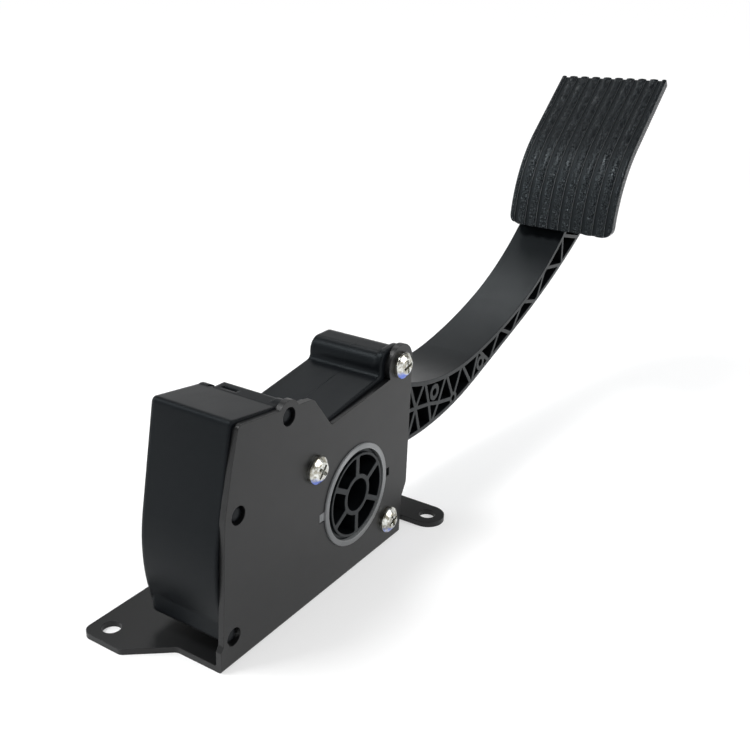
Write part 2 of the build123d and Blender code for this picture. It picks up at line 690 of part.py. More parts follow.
def friction_leaf_spring():
    """A bowed leaf between the shoe's back and the housing's block."""
    foot = DRUM_RADIUS + LOOSE_GAP + SHOE_THICKNESS + 0.1
    half = LEAF_CHORD / 2
    front = ThreePointArc((foot + LEAF_SAG, -half), (foot, 0), (foot + LEAF_SAG, half))
    back = ThreePointArc(
        (foot + LEAF_SAG + LEAF_THICKNESS, half),
        (foot + LEAF_THICKNESS, 0),
        (foot + LEAF_SAG + LEAF_THICKNESS, -half),
    )
    face = make_face([front, Line(front @ 1, back @ 0), back, Line(back @ 1, front @ 0)])
    return prism_y(Rot(0, 0, SHOE_ANGLE) * face, ARM_NEAR + 5, ARM_FAR - 5)


# Springs and seats

def spring(coil, wire, turns):
    """A coil between the two seats, with its ends ground flat."""
    low = PIVOT_HEIGHT + TAIL_PIN[1] + SEAT_RISE
    length = PIVOT_HEIGHT + SPRING_TOP - low
    grind = 0.45 * wire
    height = length - 2 * wire + 2 * grind
    path = Helix(pitch=height / turns, height=height, radius=coil)
    section = Plane(origin=path @ 0, z_dir=path % 0) * RegularPolygon(wire, 6)
    turns_solid = Pos(0, 0, wire - grind) * sweep(section, path=path, is_frenet=True)
    ground = Cylinder(2 * coil, length, align=(Align.CENTER, Align.CENTER, Align.MIN))
    return Pos(TAIL_PIN[0], 0, low) * (turns_solid & ground)


def spigot(low, high, radius):
    """A round post on the springs' axis between two heights."""
    post = Cylinder(radius, high - low, align=(Align.CENTER, Align.CENTER, Align.MIN))
    return Pos(TAIL_PIN[0], 0, PIVOT_HEIGHT + low) * post


def upper_spring_seat():
    """The cap over the springs, hooked into the slot in the tower's top."""
    top = SPRING_TOP + 3.3
    seat = spigot(SPRING_TOP, top, OUTER_COIL + OUTER_WIRE)
    seat += spigot(SPRING_TOP - 4.0, SPRING_TOP, INNER_COIL - INNER_WIRE - LOOSE_GAP)
    reach = SNAP_SLOT[0] - TAIL_PIN[0]
    arm = Pos(TAIL_PIN[0] + reach / 2, SNAP_SLOT[1], PIVOT_HEIGHT + top - 1.2) * Box(reach, 5.6, 2.4)
    hook = Pos(SNAP_SLOT[0], SNAP_SLOT[1], PIVOT_HEIGHT + top) * Box(1.2, 5.6, 4.8)
    return seat + arm + hook


def lower_spring_seat():
    """The cup that turns on the tail pin and stays level as the tail rises."""
    low = TAIL_PIN[1] + SEAT_RISE - SEAT_THICKNESS
    cup = spigot(low, low + SEAT_THICKNESS, OUTER_COIL + OUTER_WIRE + 0.3)
    cup += spigot(low, low + SEAT_THICKNESS + 4.0, INNER_COIL - INNER_WIRE - LOOSE_GAP)
    lug = disc(TAIL_PIN, TAIL_END_RADIUS)
    lug += Pos(TAIL_PIN[0], TAIL_PIN[1] + (SEAT_RISE - SEAT_THICKNESS) / 2) * Rectangle(
        2 * TAIL_END_RADIUS - 1, SEAT_RISE - SEAT_THICKNESS
    )
    lug -= disc(TAIL_PIN, TAIL_PIN_RADIUS + FIT_GAP)
    return cup + prism_y(lug, LOOSE_GAP - SLOT_HALF, SLOT_HALF - LOOSE_GAP)


def seat_pin():
    """The steel pin across the tail's fork."""
    return prism_y(disc(TAIL_PIN, TAIL_PIN_RADIUS - 0.01), -TAIL_HALF, TAIL_HALF)


# Fasteners

def cross_recess(size, depth):
    """A cross recess that narrows inwards, with its mouth at z = 0 and its floor below."""
    mouth = Rectangle(size, size / 4.5) + Rectangle(size / 4.5, size)
    floor = Rectangle(size / 3.2, size / 9) + Rectangle(size / 9, size / 3.2)
    return extrude(mouth, -depth * 0.55) + extrude(floor, -depth)


def pan_screw(head_radius, head_height, shank_radius, length, crown):
    """A pan-head screw along Z, with its head above z = 0 and its rim rounded by a radius."""
    profile = outline([
        (0, -length, 0),
        (shank_radius, -length, 0),
        (shank_radius, 0, 0),
        (head_radius, 0, 0),
        (head_radius, head_height * 0.5, crown * 0.7),
        (head_radius * 0.6, head_height, crown),
        (0, head_height, 0),
    ])
    body = revolve(Plane.XZ * profile, Axis.Z)
    return body - Pos(0, 0, head_height) * cross_recess(head_radius * 1.05, head_height * 0.7)


def face_out(spot, y, facing):
    """The place of a screw on the near face (facing -1) or the far face (facing 1)."""
    return Plane(origin=(spot[0], y, PIVOT_HEIGHT + spot[1]), x_dir=(1, 0, 0), z_dir=(0, facing, 0))


def plate_screws():
    screw = pan_screw(HEAD_RADIUS, HEAD_HEIGHT, SCREW_RADIUS - FIT_GAP, SCREW_LENGTH + SHEET, 1.7)
    turns = (12, 48, 20)
    return [face_out(spot, PLATE_OUT, -1) * Rot(0, 0, turn) * screw for spot, turn in zip(PLATE_SCREWS, turns)]


def threaded_inserts():
    face = ring(INSERT_RADIUS - 0.02, SCREW_RADIUS)
    return [prism_y(Pos(*spot) * face, PLATE_IN, PLATE_IN + INSERT_LENGTH) for spot in PLATE_SCREWS]


def cover_screws():
    level = WALL_OUT + COVER_BOSS_HEIGHT + COVER_EAR
    screw = pan_screw(3.6, 2.4, 1.55, COVER_BOSS_HEIGHT + COVER_EAR, 0)
    return [face_out(polar(COVER_SCREW_CIRCLE, angle), level, 1) * screw for angle in COVER_SCREW_ANGLES]


# Sensor

STUB_RADIUS = 4.9
MAGNET_RADIUS = 7.4
MAGNET_HEIGHT = 2.4
HOLDER_BASE = JOURNAL_END + 0.4
BOARD_LEVEL = WALL_OUT + 8.6
BOARD_THICKNESS = 1.6
COVER_TOP = WALL_OUT + COVER_HEIGHT
SOCKET_LOW = WALL_OUT + 1.6


def magnet_holder():
    """A cup on a stub that turns with the hub."""
    cup = prism_y(Circle(MAGNET_RADIUS + 1.5), HOLDER_BASE, HOLDER_BASE + 1.0 + MAGNET_HEIGHT)
    cup -= prism_y(Circle(MAGNET_RADIUS + FIT_GAP), HOLDER_BASE + 1.0, HOLDER_BASE + 2.0 + MAGNET_HEIGHT)
    return cup + prism_y(Circle(STUB_RADIUS), DRUM_FAR - 2.5, HOLDER_BASE)


def sensor_magnet():
    return prism_y(ring(MAGNET_RADIUS, 2.5), HOLDER_BASE + 1.0, HOLDER_BASE + 1.0 + MAGNET_HEIGHT)


def pin_spots():
    """The places of the six connector pins, as (distance from the far wall's face, height)."""
    middle = SOCKET_LOW + SOCKET_HEIGHT / 2
    return [(middle + row * PIN_ROW / 2, column * PIN_PITCH) for row in (-1, 1) for column in (-1, 0, 1)]


def sensor_board():
    """The round board over the magnet, with a flat towards the socket and the two sensor chips."""
    cut = Pos(-COVER_RADIUS, 0) * Rectangle(16, 60)
    board = prism_y(Circle(COVER_RADIUS - COVER_WALL - 0.4) - cut, BOARD_LEVEL, BOARD_LEVEL + BOARD_THICKNESS)
    for side in (-1, 1):
        chip = Pos(0, side * 3.6) * Rectangle(6.0, 4.6)
        board += prism_y(chip, BOARD_LEVEL - 0.9, BOARD_LEVEL)
    return board


def sensor_cover():
    """The round cover with its three ears and the connector socket on its left."""
    cover = prism_y(Circle(COVER_RADIUS), WALL_OUT, COVER_TOP)
    ear_level = WALL_OUT + COVER_BOSS_HEIGHT
    for angle in COVER_SCREW_ANGLES:
        spot = polar(COVER_SCREW_CIRCLE, angle)
        cover -= prism_y(disc(spot, COVER_BOSS_RADIUS + LOOSE_GAP), WALL_OUT, ear_level)
        ear = link(spot, COVER_BOSS_RADIUS, polar(COVER_RADIUS - 4, angle), COVER_BOSS_RADIUS)
        cover += prism_y(ear, ear_level, ear_level + COVER_EAR)
    shell_low = SOCKET_LOW
    shell = Pos(-SOCKET_LENGTH / 2, 0) * Rectangle(SOCKET_LENGTH, SOCKET_WIDTH)
    cover += prism_y(shell, shell_low, shell_low + SOCKET_HEIGHT)
    mouth = Pos(-SOCKET_LENGTH + SOCKET_DEPTH / 2, 0) * Rectangle(SOCKET_DEPTH, SOCKET_WIDTH - 2 * SOCKET_WALL)
    cover -= prism_y(mouth, shell_low + SOCKET_WALL, shell_low + SOCKET_HEIGHT - SOCKET_WALL)
    inner = COVER_RADIUS - COVER_WALL
    cover -= prism_y(Circle(inner), WALL_OUT, COVER_TOP - COVER_WALL)
    for angle in COVER_SCREW_ANGLES:
        spot = polar(COVER_SCREW_CIRCLE, angle)
        cover -= prism_y(disc(spot, 2.0), ear_level - 1, ear_level + COVER_EAR + 1)
    for angle in (40, 160, 280):
        post = disc(polar(inner - 3.2, angle), 1.8)
        cover += prism_y(post, BOARD_LEVEL + BOARD_THICKNESS, COVER_TOP - COVER_WALL)
    size = PIN_SIZE + 2 * FIT_GAP
    for y, z in pin_spots():
        wall = Pos(y, PIVOT_HEIGHT + z) * Rectangle(size, size)
        cover -= prism_x(wall, -SOCKET_LENGTH + SOCKET_DEPTH - 1, -inner + 8)
    return cover


def connector_pins():
    """Six square pins from the socket to the board's edge."""
    pins = []
    tip = -SOCKET_LENGTH + 7.0
    for y, z in pin_spots():
        shape = Pos(y, PIVOT_HEIGHT + z) * Rectangle(PIN_SIZE, PIN_SIZE)
        pins.append(prism_x(shape, tip, -COVER_RADIUS + COVER_WALL + 4.0))
    return pins


def cover_seal():
    """The flat ring between the housing's bearing boss and the cover."""
    face = ring(COVER_RADIUS - COVER_WALL - FIT_GAP, FAR_BOSS_RADIUS + FIT_GAP)
    return prism_y(face, WALL_OUT, WALL_OUT + 2.2)


PARTS = {
    "mounting_bracket": mounting_bracket,
    "housing": housing,
    "pedal_arm": pedal_arm,
    "tread_pad": tread_pad,
    "near_hub_bush": near_hub_bush,
    "far_hub_bush": far_hub_bush,
    "outer_return_spring": lambda: spring(OUTER_COIL, OUTER_WIRE, OUTER_TURNS),
    "inner_return_spring": lambda: spring(INNER_COIL, INNER_WIRE, INNER_TURNS),
    "upper_spring_seat": upper_spring_seat,
    "lower_spring_seat": lower_spring_seat,
    "seat_pin": seat_pin,
    "friction_shoe": friction_shoe,
    "friction_leaf_spring": friction_leaf_spring,
    "idle_stop_bumper": idle_stop_bumper,
    "full_stop_bumper": full_stop_bumper,
    "plate_screws": plate_screws,
    "threaded_inserts": threaded_inserts,
    "magnet_holder": magnet_holder,
    "sensor_magnet": sensor_magnet,
    "sensor_board": sensor_board,
    "sensor_cover": sensor_cover,
    "cover_seal": cover_seal,
    "connector_pins": connector_pins,
    "cover_screws": cover_screws,
}


def write_parts():
    os.makedirs("parts", exist_ok=True)
    for name, build in PARTS.items():
        made = build()
        solids = made if isinstance(made, list) else [made]
        whole = Compound(label=name, children=[s for item in solids for s in item.solids()])
        export_step(whole, f"parts/{name}.step")


write_parts()
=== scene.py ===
import logging
import math
from dataclasses import dataclass, field
from enum import Enum
from functools import lru_cache
from typing import Any

import bmesh
import bpy
from mathutils import Matrix, Vector


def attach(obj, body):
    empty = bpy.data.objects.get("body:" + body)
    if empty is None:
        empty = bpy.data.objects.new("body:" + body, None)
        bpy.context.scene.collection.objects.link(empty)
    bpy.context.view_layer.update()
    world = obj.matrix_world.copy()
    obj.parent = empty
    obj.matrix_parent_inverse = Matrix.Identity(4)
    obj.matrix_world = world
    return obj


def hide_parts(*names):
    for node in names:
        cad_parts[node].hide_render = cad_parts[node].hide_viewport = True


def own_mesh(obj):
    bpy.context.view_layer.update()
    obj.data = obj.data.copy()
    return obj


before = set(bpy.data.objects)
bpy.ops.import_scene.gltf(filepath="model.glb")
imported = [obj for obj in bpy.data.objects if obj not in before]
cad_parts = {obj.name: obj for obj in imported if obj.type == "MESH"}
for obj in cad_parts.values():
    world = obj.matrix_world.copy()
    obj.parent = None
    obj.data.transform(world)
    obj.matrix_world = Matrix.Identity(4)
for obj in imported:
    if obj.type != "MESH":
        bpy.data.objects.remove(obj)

LOG = logging.getLogger("pedal")
MM = 0.001
IOR = 1.5

Colour = tuple[float, float, float]
Point = tuple[float, float, float]
# A band is where a smooth step starts and where it ends.
Band = tuple[float, float]

EVEN: Point = (1.0, 1.0, 1.0)
WHITE: Colour = (1.0, 1.0, 1.0)
BEVEL_SAMPLES = 6


def tone(red: float, green: float, blue: float) -> Colour:
    """Turns a screen colour into the linear one that a shader takes.

    Args:
        red: the red share, from 0 to 255.
        green: the green share, from 0 to 255.
        blue: the blue share, from 0 to 255.

    Returns:
        The three linear shares, from 0 to 1.
    """

    def linear(share: float) -> float:
        """One share, from 0 to 255, as a linear one."""
        part = share / 255
        return part / 12.92 if part <= 0.04045 else ((part + 0.055) / 1.055) ** 2.4

    return (linear(red), linear(green), linear(blue))


class Signal:
    """A shader socket that Python arithmetic can be done on."""

    def __init__(self, tree: "Tree", socket: bpy.types.NodeSocket) -> None:
        """Wraps a socket of a tree."""
        self.tree = tree
        self.socket = socket

    def __add__(self, other: "Signal | float") -> "Signal":
        """The sum with another signal or number."""
        return self.tree.math("ADD", self, other)

    __radd__ = __add__

    def __sub__(self, other: "Signal | float") -> "Signal":
        """This signal less another."""
        return self.tree.math("SUBTRACT", self, other)

    def __rsub__(self, other: "Signal | float") -> "Signal":
        """A number less this signal."""
        return self.tree.math("SUBTRACT", other, self)

    def __mul__(self, other: "Signal | float") -> "Signal":
        """The product with another signal or number."""
        return self.tree.math("MULTIPLY", self, other)

    __rmul__ = __mul__

    def __truediv__(self, other: "Signal | float") -> "Signal":
        """This signal divided by another."""
        return self.tree.math("DIVIDE", self, other)

    def __rtruediv__(self, other: "Signal | float") -> "Signal":
        """A number divided by this signal."""
        return self.tree.math("DIVIDE", other, self)

    def __abs__(self) -> "Signal":
        """The signal without its sign."""
        return self.tree.math("ABSOLUTE", self)

    def least(self, other: "Signal | float") -> "Signal":
        """The lower of this signal and another."""
        return self.tree.math("MINIMUM", self, other)

    def most(self, other: "Signal | float") -> "Signal":
        """The higher of this signal and another."""
        return self.tree.math("MAXIMUM", self, other)

    def step(self, low: float, high: float) -> "Signal":
        """A smooth step.

        Args:
            low: where the step leaves 0.
            high: where the step reaches 1. It may be below low, and then the step falls.

        Returns:
            The signal, from 0 to 1.
        """
        first, last = (0.0, 1.0) if low < high else (1.0, 0.0)
        sockets = {
            "Value": self,
            "From Min": min(low, high),
            "From Max": max(low, high),
            "To Min": first,
            "To Max": last,
        }
        return self.tree.signal("ShaderNodeMapRange", {"interpolation_type": "SMOOTHSTEP"}, sockets)


class Tree:
    """The nodes of one material, or of the world."""

    def __init__(self, owner: bpy.types.Material | bpy.types.World) -> None:
        """Empties the owner's nodes.

        Args:
            owner: the material or world whose nodes these are.
        """
        self.owner = owner
        owner.use_nodes = True
        self.nodes = owner.node_tree.nodes
        self.links = owner.node_tree.links
        self.nodes.clear()

    @classmethod
    def of_material(cls, name: str) -> "Tree":
        """Starts a new material."""
        return cls(bpy.data.materials.new(name))

    def node(
        self, kind: str, settings: dict[str, Any], sockets: dict[str | int, Any]
    ) -> bpy.types.Node:
        """Adds a node.

        Args:
            kind: the node's type.
            settings: its own settings, which are set first. "stops" holds a ramp's stops.
            sockets: the values or signals of its sockets.

        Returns:
            The node.
        """
        made = self.nodes.new(kind)
        for key, value in settings.items():
            if key == "stops":
                self._stops(made.color_ramp, value)
            else:
                setattr(made, key, value)
        for key, value in sockets.items():
            if isinstance(value, Signal):
                self.links.new(value.socket, made.inputs[key])
            else:
                made.inputs[key].default_value = value
        return made

    @staticmethod
    def _stops(ramp: bpy.types.ColorRamp, stops: list[tuple[float, Colour]]) -> None:
        """Sets a ramp's stops.

        Args:
            ramp: the ramp.
            stops: its stops, as (place, colour).
        """
        while len(ramp.elements) < len(stops):
            ramp.elements.new(1.0)
        for element, (place, colour) in zip(ramp.elements, stops):
            element.position = place
            element.color = (*colour, 1.0)

    def signal(
        self,
        kind: str,
        settings: dict[str, Any],
        sockets: dict[str | int, Any],
        output: str | int = 0,
    ) -> Signal:
        """Adds a node and gives one of its outputs as a signal."""
        return Signal(self, self.node(kind, settings, sockets).outputs[output])

    def math(self, operation: str, *values: Signal | float) -> Signal:
        """Adds a Math node for an operation on up to three values."""
        return self.signal("ShaderNodeMath", {"operation": operation}, dict(enumerate(values)))

    def place(self, stretch: Point = EVEN) -> Signal:
        """The place on the object.

        Args:
            stretch: how much the place is stretched along each axis.

        Returns:
            The place, in metres.
        """
        where = self.signal("ShaderNodeTexCoord", {}, {}, "Object")
        if stretch == EVEN:
            return where
        return self.vector_math("MULTIPLY", {0: where, 1: stretch})

    def vector_math(
        self, operation: str, sockets: dict[str | int, Any], output: str = "Vector"
    ) -> Signal:
        """Adds a Vector Math node, and gives its vector or its value."""
        return self.signal("ShaderNodeVectorMath", {"operation": operation}, sockets, output)

    def normal_parts(self, kind: str = "Normal") -> tuple[Signal, Signal, Signal]:
        """The three parts of the surface's normal, or of its true normal."""
        return self.parts(self.signal("ShaderNodeNewGeometry", {}, {}, kind))

    def parts(self, vector: Signal) -> tuple[Signal, Signal, Signal]:
        """The three parts of a vector."""
        split = self.node("ShaderNodeSeparateXYZ", {}, {0: vector})
        return tuple(Signal(self, socket) for socket in split.outputs)

    def noise(
        self, where: Signal, size: float, detail: float = 2.0, rough: float = 0.5
    ) -> Signal:
        """Cloudy noise from 0 to 1, with the size of its clouds in metres."""
        sockets = {"Vector": where, "Scale": 1 / size, "Detail": detail, "Roughness": rough}
        return self.signal("ShaderNodeTexNoise", {}, sockets, "Fac")

    def cells(self, where: Signal, size: float) -> Signal:
        """Cells like those of hide.

        Args:
            where: the place.
            size: the size of a cell, in metres.

        Returns:
            The distance to the nearest edge, as a share of a cell's size.
        """
        sockets = {"Vector": where, "Scale": 1 / size}
        settings = {"feature": "DISTANCE_TO_EDGE"}
        return self.signal("ShaderNodeTexVoronoi", settings, sockets, "Distance")

    def blend(self, share: Signal, first: Signal | Colour, second: Signal | Colour) -> Signal:
        """A colour between two.

        Args:
            share: how much of the second there is, from 0 to 1.
            first: the first colour, or a signal of it.
            second: the second colour, or a signal of it.

        Returns:
            The colour.
        """
        sockets: dict[str | int, Any] = {0: share}
        for key, colour in ((6, first), (7, second)):
            sockets[key] = colour if isinstance(colour, Signal) else (*colour, 1.0)
        return self.signal("ShaderNodeMix", {"data_type": "RGBA"}, sockets, 2)

    def soft_edges(self, radius: float) -> Signal:
        """The surface's normal, with its edges rounded by a radius in metres."""
        return self.signal("ShaderNodeBevel", {"samples": BEVEL_SAMPLES}, {"Radius": radius})

    def edge_mask(self, radius: float) -> Signal:
        """Where the edges are.

        Args:
            radius: how far from an edge it still counts, in metres.

        Returns:
            About 0 on flat ground, and rising towards 1 on an edge.
        """
        plain = self.signal("ShaderNodeNewGeometry", {}, {}, "Normal")
        sockets = {0: plain, 1: self.soft_edges(radius)}
        return 1 - self.vector_math("DOT_PRODUCT", sockets, "Value")

    def shown(self) -> Signal:
        """Which rays see the surface.

        Returns:
            1 for a camera, mirror or glass ray, and 0 for light on the object.
        """
        rays = self.node("ShaderNodeLightPath", {}, {})
        names = ("Is Camera Ray", "Is Glossy Ray", "Is Transmission Ray")
        camera, glossy, through = (Signal(self, rays.outputs[name]) for name in names)
        return camera.most(glossy).most(through)

    def bump(self, height: Signal, depth: float, normal: Signal) -> Signal:
        """The normal over a relief, given from 0 to 1 with its depth in metres."""
        sockets = {"Height": height, "Distance": depth, "Normal": normal}
        return self.signal("ShaderNodeBump", {}, sockets)

    def finish(self, fixed: dict[str, Any], varied: dict[str, Signal]) -> bpy.types.Material:
        """Ends the tree in one shader.

        Args:
            fixed: the sockets whose value is the same all over.
            varied: the sockets that change over the surface.

        Returns:
            The material.
        """
        shader = self.signal("ShaderNodeBsdfPrincipled", {}, {**fixed, **varied})
        self.node("ShaderNodeOutputMaterial", {}, {"Surface": shader})
        return self.owner


@dataclass(frozen=True)
class Finish:
    """What a surface is made of and how it is worked.

    Its roughness varies by the spread. The edge is the radius that its edges seem rounded to, and
    the drift and the cloud are the sizes of its changes in colour and in roughness.
    """

    name: str
    colour: Colour
    second: Colour
    roughness: float = 0.5
    spread: float = 0.06
    edge: float = 0.35 * MM
    specular: float = 0.5
    sheen: Colour = WHITE
    drift: float = 22 * MM
    cloud: float = 9 * MM

    def relief(self, tree: Tree) -> Signal:
        """The normal with rounded edges and the surface's own relief."""
        return tree.soft_edges(self.edge)

    def shade(self, tree: Tree) -> Signal:
        """The colour, drifting a little between the finish's two."""
        clouds = tree.noise(tree.place(), self.drift, detail=4.0)
        return tree.blend(clouds, self.colour, self.second)

    def gloss(self, tree: Tree) -> Signal:
        """The roughness, with soft cloudy changes."""
        clouds = tree.noise(tree.place(), self.cloud, detail=5.0)
        return self.roughness + self.spread * (clouds - 0.5)

    def fixed(self) -> dict[str, Any]:
        """The shader's values that are the same all over."""
        tint = (*self.sheen, 1.0)
        return {"IOR": IOR, "Specular IOR Level": self.specular, "Specular Tint": tint}

    def material(self) -> bpy.types.Material:
        """Makes the finish.

        Returns:
            The finished material.
        """
        tree = Tree.of_material(self.name)
        varied = {
            "Base Color": self.shade(tree),
            "Roughness": self.gloss(tree),
            "Normal": self.relief(tree),
        }
        return tree.finish(self.fixed(), varied)


@dataclass(frozen=True)
class MouldedPlastic(Finish):
    """Filled plastic from a fine spark-eroded mould."""

    grain: float = 0.45 * MM
    depth: float = 0.012 * MM
    wave: float = 14 * MM
    wave_depth: float = 0.05 * MM
    flow: float = 0.5
    streak: float = 6 * MM
    along: Point = (0.25, 1.0, 1.0)
    patch: float = 30 * MM

    def relief(self, tree: Tree) -> Signal:
        """Fine grain over faint waves where the melt cooled.

        Args:
            tree: the material's nodes.

        Returns:
            The normal.
        """
        where = tree.place()
        rounded = tree.soft_edges(self.edge)
        waves = tree.bump(tree.noise(where, self.wave, detail=1.0), self.wave_depth, rounded)
        grains = tree.noise(where, self.grain, detail=3.0, rough=0.6)
        return tree.bump(grains, self.depth, waves)

    def gloss(self, tree: Tree) -> Signal:
        """Glossier streaks along the flow of the melt.

        Args:
            tree: the material's nodes.

        Returns:
            The roughness.
        """
        streaks = tree.noise(tree.place(self.along), self.streak, detail=4.0)
        patches = tree.noise(tree.place(), self.patch, detail=3.0)
        return self.roughness + self.spread * ((streaks - 0.5) * self.flow + patches - 0.5)


@dataclass(frozen=True)
class PartedPlastic(MouldedPlastic):
    """Moulded plastic with a parting line over the roof and the stop boss tube.

    The line is its place across the part, and it begins at the start along it.
    """

    line: float = 0.25 * MM
    width: float = 0.18 * MM
    height: float = 0.05 * MM
    start: float = -38 * MM

    def relief(self, tree: Tree) -> Signal:
        """The grain, with the thin ridge of the parting line.

        Args:
            tree: the material's nodes.

        Returns:
            The normal.
        """
        along, across, _ = tree.parts(tree.place())
        ridge = abs(across - self.line).step(self.width, 0.0)
        begun = along.step(self.start, self.start + MM)
        return tree.bump(ridge * begun, self.height, super().relief(tree))


@dataclass(frozen=True)
class CrownedRing(MouldedPlastic):
    """Moulded plastic of a ring about the pivot, whose face slopes outwards."""

    pivot_height: float = 35.5 * MM
    reach: float = 30 * MM
    slope: float = 0.8

    def relief(self, tree: Tree) -> Signal:
        """The grain over the sloping face.

        Args:
            tree: the material's nodes.

        Returns:
            The normal.
        """
        side, _, up = tree.parts(tree.place())
        rise = up - self.pivot_height
        radius = tree.math("SQRT", side * side + rise * rise)
        return tree.bump(1 - radius / self.reach, self.reach * self.slope, super().relief(tree))


@dataclass(frozen=True)
class CoatedSheet(Finish):
    """Steel sheet under a dipped black coating.

    The second colour shows in patches, and on the edges: partly as the coating thinner there,
    partly as a painted highlight along them.
    """

    peel: float = 0.9 * MM
    depth: float = 0.008 * MM
    ripple: float = 18 * MM
    ripple_depth: float = 0.04 * MM
    rolling: Point = (0.3, 1.0, 1.0)
    thin_and_highlight_edge: float = 0.5 * MM
    thin_and_highlight: Band = (0.03, 0.3)
    thin_and_highlight_share: float = 0.6
    patch: float = 30 * MM
    patch_share: float = 0.5

    def relief(self, tree: Tree) -> Signal:
        """The faint peel of the coating over the rolled sheet's ripple.

        Args:
            tree: the material's nodes.

        Returns:
            The normal.
        """
        rolled = tree.noise(tree.place(self.rolling), self.ripple)
        rippled = tree.bump(rolled, self.ripple_depth, tree.soft_edges(self.edge))
        return tree.bump(tree.noise(tree.place(), self.peel), self.depth, rippled)

    def shade(self, tree: Tree) -> Signal:
        """The coating, lighter on the sheared edges as thinner coating and painted highlight.

        Args:
            tree: the material's nodes.

        Returns:
            The colour.
        """
        patches = tree.noise(tree.place(), self.patch, detail=4.0)
        # Lighter edges: partly the coating thinner there, partly a painted highlight along the
        # edges.
        thin_and_highlight = tree.edge_mask(self.thin_and_highlight_edge).step(*self.thin_and_highlight)
        share = patches * self.patch_share + thin_and_highlight * self.thin_and_highlight_share
        return tree.blend(share.least(1.0), self.colour, self.second)


@dataclass(frozen=True)
class GrainedRubber(Finish):
    """Moulded rubber with a hide grain.

    The pebbles wander off their even pattern by a share of the grain, in turns as long as several
    grains. The creases and the tops are bands of the pattern. The tops get a painted highlight,
    lighter colour that stands in for glints of light on them.
    """

    grain: float = 1.35 * MM
    depth: float = 0.28 * MM
    # The share of the painted highlight on the pebbles' tops.
    painted_highlight: float = 0.5
    wander: float = 0.5
    turn: float = 2.5
    creases: Band = (0.02, 0.36)
    tops: Band = (0.35, 0.7)

    def pebbles(self, tree: Tree) -> Signal:
        """Small uneven pebbles with creases between them.

        Args:
            tree: the material's nodes.

        Returns:
            0 in the creases and 1 on the pebbles.
        """
        where = tree.place()
        sockets = {"Vector": where, "Scale": 1 / (self.turn * self.grain)}
        drift = tree.signal("ShaderNodeTexNoise", {}, sockets, "Color")
        offset = tree.vector_math("SCALE", {0: drift, "Scale": self.wander * self.grain})
        moved = tree.vector_math("ADD", {0: where, 1: offset})
        return tree.cells(moved, self.grain).step(*self.creases)

    def grained(self, tree: Tree) -> Signal:
        """Where the grain is, from 0 to 1."""
        return self.pebbles(tree)

    def relief(self, tree: Tree) -> Signal:
        """The grain, on softly rounded edges."""
        return tree.bump(self.grained(tree), self.depth, tree.soft_edges(self.edge))

    def shade(self, tree: Tree) -> Signal:
        """The rubber, with a painted highlight: lighter colour on the pebbles' tops."""
        # Painted highlight: the pebbles' tops are lighter in colour, standing in for glints of
        # light.
        tops = self.grained(tree) * tree.noise(tree.place(), self.grain).step(*self.tops)
        return tree.blend(tops * self.painted_highlight, self.colour, self.second)


@dataclass(frozen=True)
class TreadRubber(GrainedRubber):
    """Grained rubber on ribs, with smooth grooves and painted highlights on the rib walls between.

    The ribs repeat at the pitch, from the middle of one of them. The fade is the heights between
    which the painted highlight on their walls comes up from its least. Beside is where the walls
    are, in shares of half a rib, and near is how the surface faces there, towards the near side.
    """

    # The colour of the painted highlight on the rib walls.
    wall: Colour = (0.25, 0.265, 0.275)
    pitch: float = 6.56 * MM
    middle: float = -36.76 * MM
    half_rib: float = 2.18 * MM
    shoulder: float = 0.25 * MM
    dull: float = 0.35
    fade: Band = (160 * MM, 133 * MM)
    least_wall_highlight: float = 0.3
    beside: Band = (0.7, 0.9)
    near: Band = (-0.6, -0.95)

    def from_middle(self, tree: Tree) -> Signal:
        """The distance across from the nearest rib's middle, in metres."""
        _, across, _ = tree.parts(tree.place())
        return tree.math("PINGPONG", across - self.middle, 0.5 * self.pitch)

    def on_rib(self, tree: Tree) -> Signal:
        """1 on the ribs and 0 in the grooves."""
        return self.from_middle(tree).step(self.half_rib, self.half_rib - self.shoulder)

    def grained(self, tree: Tree) -> Signal:
        """The pebbles, on the ribs only."""
        return self.pebbles(tree) * self.on_rib(tree)

    def wall_highlight(self, tree: Tree) -> Signal:
        """How much painted highlight the walls get at each height, from 0 to 1."""
        _, _, height = tree.parts(tree.place())
        return height.step(*self.fade) * (1 - self.least_wall_highlight) + self.least_wall_highlight

    def shade(self, tree: Tree) -> Signal:
        """The rubber, darkest in the grooves, with a painted highlight on the near-facing walls.

        Args:
            tree: the material's nodes.

        Returns:
            The colour.
        """
        _, facing, _ = tree.normal_parts("True Normal")
        first, last = (share * self.half_rib for share in self.beside)
        beside = self.from_middle(tree).step(first, last)
        # Painted highlight: the walls that face the near side are lighter, most in the lower part.
        walls = facing.step(*self.near) * beside * self.wall_highlight(tree)
        return tree.blend(walls, super().shade(tree), self.wall)

    def gloss(self, tree: Tree) -> Signal:
        """The roughness, duller in the grooves."""
        return super().gloss(tree) + self.dull * (1 - self.on_rib(tree))


@dataclass(frozen=True)
class BareMetal(Finish):
    """Metal with a fine directional or cloudy finish."""

    metallic: float = 1.0
    stretch: Point = EVEN
    grain: float = 0.4 * MM
    depth: float = 0.006 * MM

    def relief(self, tree: Tree) -> Signal:
        """Fine drawing or grinding marks."""
        marks = tree.noise(tree.place(self.stretch), self.grain, detail=3.0, rough=0.6)
        return tree.bump(marks, self.depth, tree.soft_edges(self.edge))

    def fixed(self) -> dict[str, Any]:
        """Metal all over."""
        return {"Metallic": self.metallic, "IOR": IOR}


